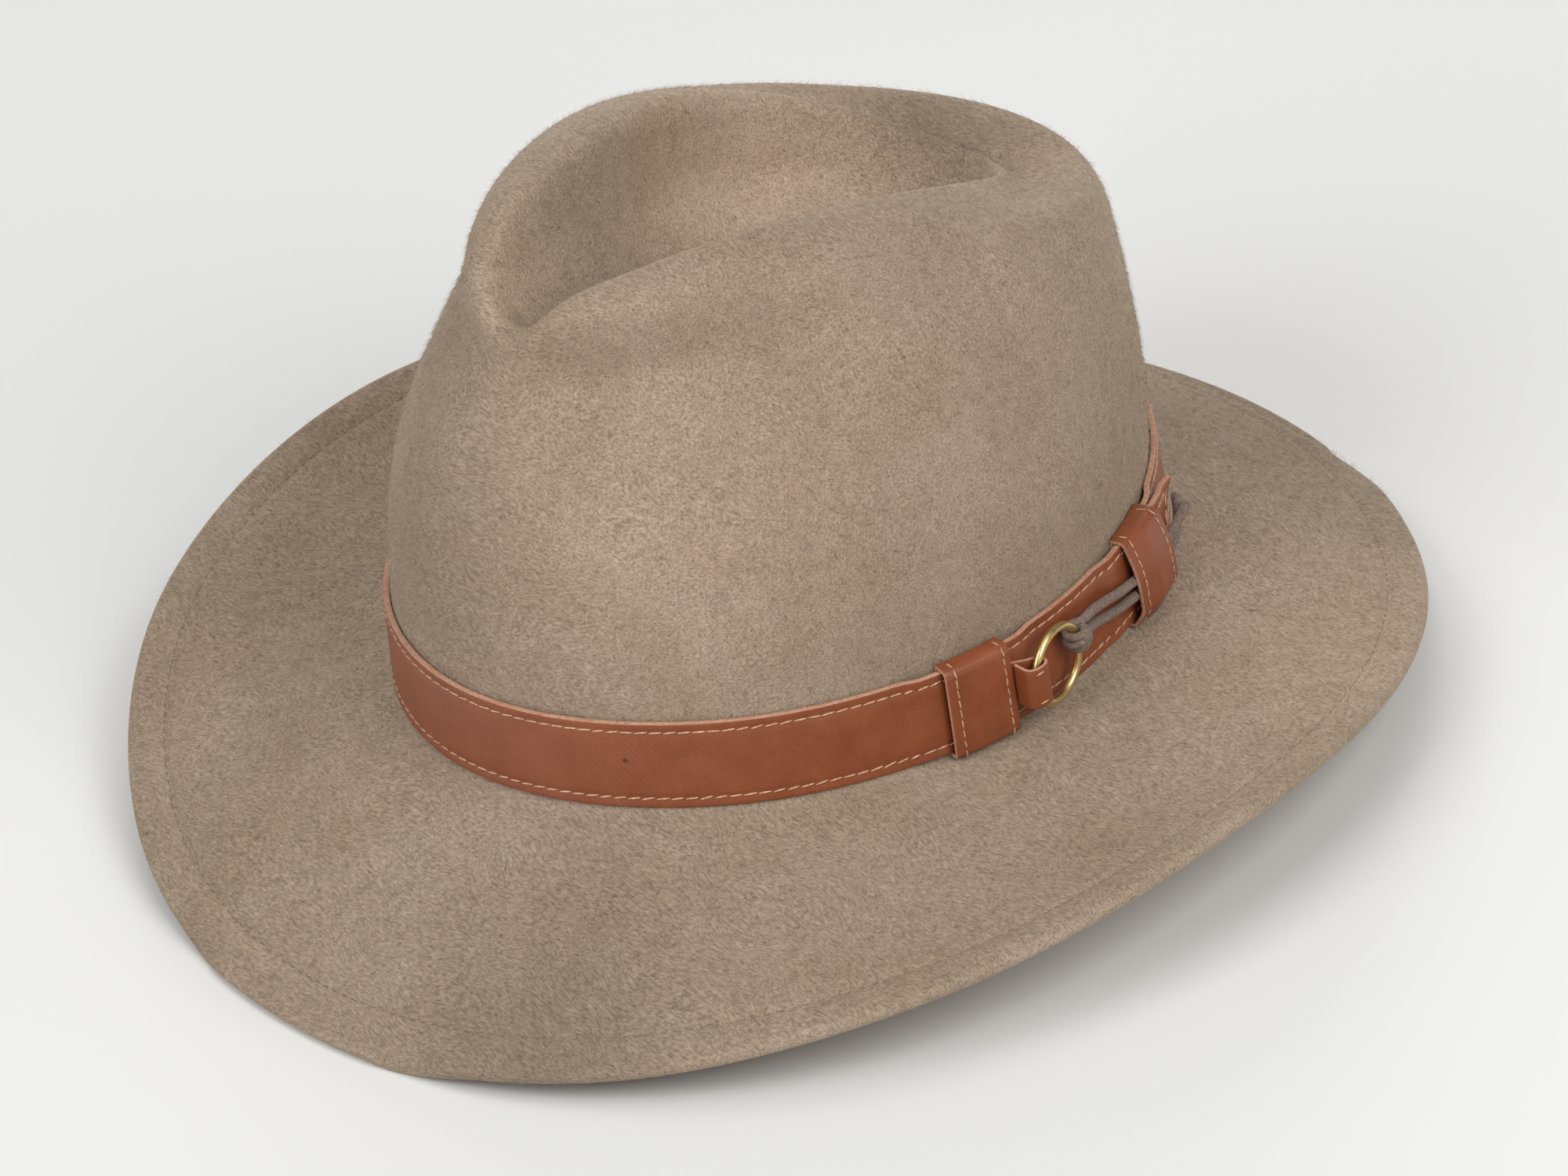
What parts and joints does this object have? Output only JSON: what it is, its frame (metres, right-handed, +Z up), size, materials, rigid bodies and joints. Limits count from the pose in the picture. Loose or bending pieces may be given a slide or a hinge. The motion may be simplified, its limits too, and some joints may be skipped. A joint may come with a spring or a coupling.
{
  "type": "outback hat",
  "caption": "Felt outback hat with a creased crown, a shaped brim and a leather band tied at a brass ring.",
  "frame": {"origin": "on the surface the hat rests on, under the middle of its bounding box", "axes": "+Z up, front of the hat towards -Y, wearer's left with the ring towards +X"},
  "size_m": [0.3222, 0.3328, 0.1593],
  "materials": {
    "felt": "brushed wool felt",
    "leather": "semi-gloss, raw edges",
    "brass": "polished",
    "cord": "waxed cotton"
  },
  "bodies": {
    "root": {"felt_body": "felt", "band_strap": "leather", "sleeve_front": "leather", "keeper_rear": "leather", "ring_tab": "leather", "brass_ring": "brass", "cord_knot": "cord", "cord_upper": "cord", "cord_lower": "cord"}
  },
  "joints": []
}
